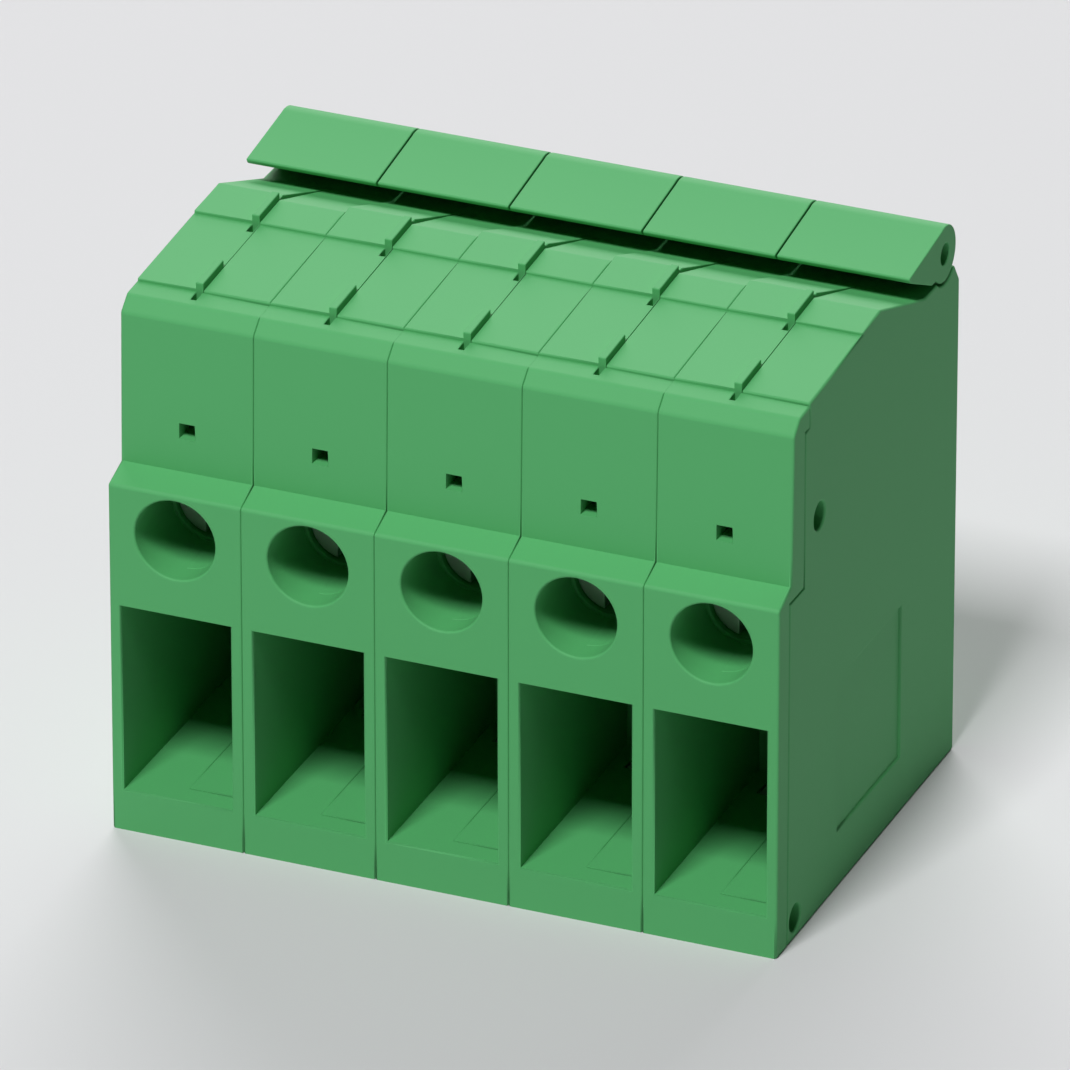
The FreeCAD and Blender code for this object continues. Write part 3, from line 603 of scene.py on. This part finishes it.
def screw_surface(low, high):
    """The clamp screw as one closed surface in two parts.

    The face: chord k lies at across = R cos a(k), at the depth of chord k, and runs from
    -R sin a(k) to +R sin a(k) in height. The side: step p at angle a is (r cos a, depth,
    r sin a), where r is the step's radius less the thread's depth times its share times
    (1 - cos(2 pi depth / pitch - a)) / 2."""
    clamp = bpy.context.scene.terminal_clamp
    head_radius = (high.x - low.x) / 2
    angles, depths = screw_angles(head_radius)
    chord_ends = np.stack((-np.sin(angles), np.sin(angles))) * head_radius
    across = np.broadcast_to(np.cos(angles) * head_radius, chord_ends.shape)
    face = np.stack((across, np.broadcast_to(depths, chord_ends.shape), chord_ends), axis=-1)

    ring = np.concatenate((angles, -angles[::-1]))
    radius, depth, share = screw_profile(head_radius, high.y - low.y)
    wave = (1 - np.cos(2 * pi * depth[:, None] / clamp.thread_pitch - ring)) / 2
    reach = radius[:, None] - clamp.thread_depth * share[:, None] * wave
    side = np.stack((reach * np.cos(ring), np.broadcast_to(depth[:, None], reach.shape),
                     reach * np.sin(ring)), axis=-1)
    rim = np.stack((head_radius * np.cos(ring), np.concatenate((depths, depths[::-1])),
                    head_radius * np.sin(ring)), axis=-1)
    side = np.concatenate((rim[None], side))

    points = np.concatenate((face.reshape(-1, 3), side.reshape(-1, 3)))
    points += ((low.x + high.x) / 2, low.y, (low.z + high.z) / 2)
    face_quads = grid_faces(2, len(angles), False)
    side_quads = grid_faces(len(side), len(ring), True) + face.shape[0] * face.shape[1]
    return points, np.concatenate((face_quads, side_quads))


class TERMINAL_OT_screws(bpy.types.Operator):
    """Makes the slotted clamp screws with their rolled threads."""
    bl_idname = "terminal.screws"
    bl_label = "Clamp screws"

    def execute(self, context):
        edge = context.scene.terminal_clamp.metal_edge
        for pole in range(1, POLES + 1):
            node_name = "clamp_screw_%d" % pole
            name = "threaded_" + node_name
            low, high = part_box(node_name)
            work = merged(*screw_surface(low, high))
            bmesh.ops.recalc_face_normals(work, faces=work.faces)
            middles, _, _, folds = edge_facts(work, ROW_LEFT)
            on_head = middles[:, 1] < low.y - FRONT + HEAD_LENGTH + TOUCH
            radii = np.where(on_head & (folds > SMOOTH_FOLD), edge, 0.0)
            mesh, width = rounded_mesh(name, work, radii, THREAD_FOLD)
            piece = add_piece(name, mesh, material_of(zinc_plated_screw), node_name + "_body",
                              node_name)
            round_edges(piece, width, METAL_SEGMENTS)
        return {"FINISHED"}


def studio_floor(colour):
    """Matt pale card: nearly white, with a faint fibre."""
    material, tree, place = new_material("pale_card")
    fibre_size, fibre_depth = 2 * MM, 0.02 * MM
    fibre = node(tree, "ShaderNodeTexNoise",
                 {"Vector": place, "Scale": 1 / fibre_size, "Detail": 4.0})
    bump = node(tree, "ShaderNodeBump",
                {"Height": fibre.outputs[0], "Strength": 0.05, "Distance": fibre_depth})
    shader = node(tree, "ShaderNodeBsdfPrincipled",
                  {"Base Color": (*colour, 1.0), "Roughness": 0.7, "Normal": bump.outputs[0]})
    finish_material(tree, shader.outputs[0])
    return material


def place_aimed(name, data, place, target):
    """Links a light or a camera at a place, aimed at a target."""
    holder = bpy.data.objects.new(name, data)
    holder.location = place
    aim = Vector(target) - Vector(place)
    holder.rotation_euler = aim.to_track_quat("-Z", "Y").to_euler()
    bpy.context.scene.collection.objects.link(holder)
    return holder


def add_light(name, place, target, width, power):
    """A square soft light at a place, aimed at a target."""
    light = bpy.data.lights.new(name, "AREA")
    light.size = width
    light.energy = power
    place_aimed(name, light, place, target)


class TERMINAL_OT_stage(bpy.types.Operator):
    """Sets the pale floor, the soft studio light and the camera."""
    bl_idname = "terminal.stage"
    bl_label = "Studio"

    def execute(self, context):
        scene = context.scene
        studio = scene.terminal_studio
        reach = FLOOR_REACH
        corners = [(-reach, -reach, 0.0), (reach, -reach, 0.0), (reach, reach, 0.0),
                   (-reach, reach, 0.0)]
        mesh = bpy.data.meshes.new("floor")
        mesh.from_pydata(corners, [], [(0, 1, 2, 3)])
        mesh.materials.append(studio_floor(studio.floor_colour))
        floor = bpy.data.objects.new("floor", mesh)
        scene.collection.objects.link(floor)

        world = bpy.data.worlds.new("soft_sky")
        world.use_nodes = True
        world.node_tree.nodes.clear()
        sky = node(world.node_tree, "ShaderNodeBackground",
                   {"Color": (1.0, 1.0, 1.0, 1.0), "Strength": studio.sky_strength})
        node(world.node_tree, "ShaderNodeOutputWorld", {"Surface": sky.outputs[0]})
        scene.world = world
        scene.view_settings.view_transform = "Standard"

        middle = (0.0, 0.0, ROOF_TOP / 2)
        add_light("key_light", KEY_PLACE, middle, KEY_WIDTH, studio.key_power)
        add_light("back_light", BACK_PLACE, middle, BACK_WIDTH, studio.back_power)

        camera = bpy.data.cameras.new("camera")
        camera.lens = studio.lens
        camera.clip_end = VIEW_END
        scene.camera = place_aimed("camera", camera, CAMERA_PLACE, CAMERA_TARGET)
        return {"FINISHED"}


class TERMINAL_PT_row(bpy.types.Panel):
    """Lists the steps that dress the row, with their sizes and colours."""
    bl_idname = "TERMINAL_PT_row"
    bl_label = "Screw terminal row"
    bl_space_type = "VIEW_3D"
    bl_region_type = "UI"
    bl_category = "Terminal"

    def draw(self, context):
        layout = self.layout
        for group_name in GROUPS:
            group = getattr(context.scene, group_name)
            for name in group.__annotations__:
                layout.prop(group, name)
        for operator in OPERATORS:
            layout.operator(operator.bl_idname)


OPERATORS = (TERMINAL_OT_stage, TERMINAL_OT_housings, TERMINAL_OT_flaps, TERMINAL_OT_clamps,
             TERMINAL_OT_contacts, TERMINAL_OT_screws)
GROUPS = {"terminal_housing": TerminalHousing, "terminal_clamp": TerminalClamp,
          "terminal_studio": TerminalStudio}
CLASSES = (*GROUPS.values(), *OPERATORS, TERMINAL_PT_row)


def register():
    """Registers the classes and hangs the settings on the scene."""
    for kind in CLASSES:
        bpy.utils.register_class(kind)
    for name, kind in GROUPS.items():
        setattr(bpy.types.Scene, name, bpy.props.PointerProperty(type=kind))


def unregister():
    """Takes away what register added."""
    for name in GROUPS:
        delattr(bpy.types.Scene, name)
    for kind in reversed(CLASSES):
        bpy.utils.unregister_class(kind)


def main():
    """Dresses the row step by step."""
    register()
    for operator in OPERATORS:
        getattr(bpy.ops.terminal, operator.bl_idname.split(".")[1])()
    bpy.context.view_layer.update()


if __name__ == "__main__":
    main()
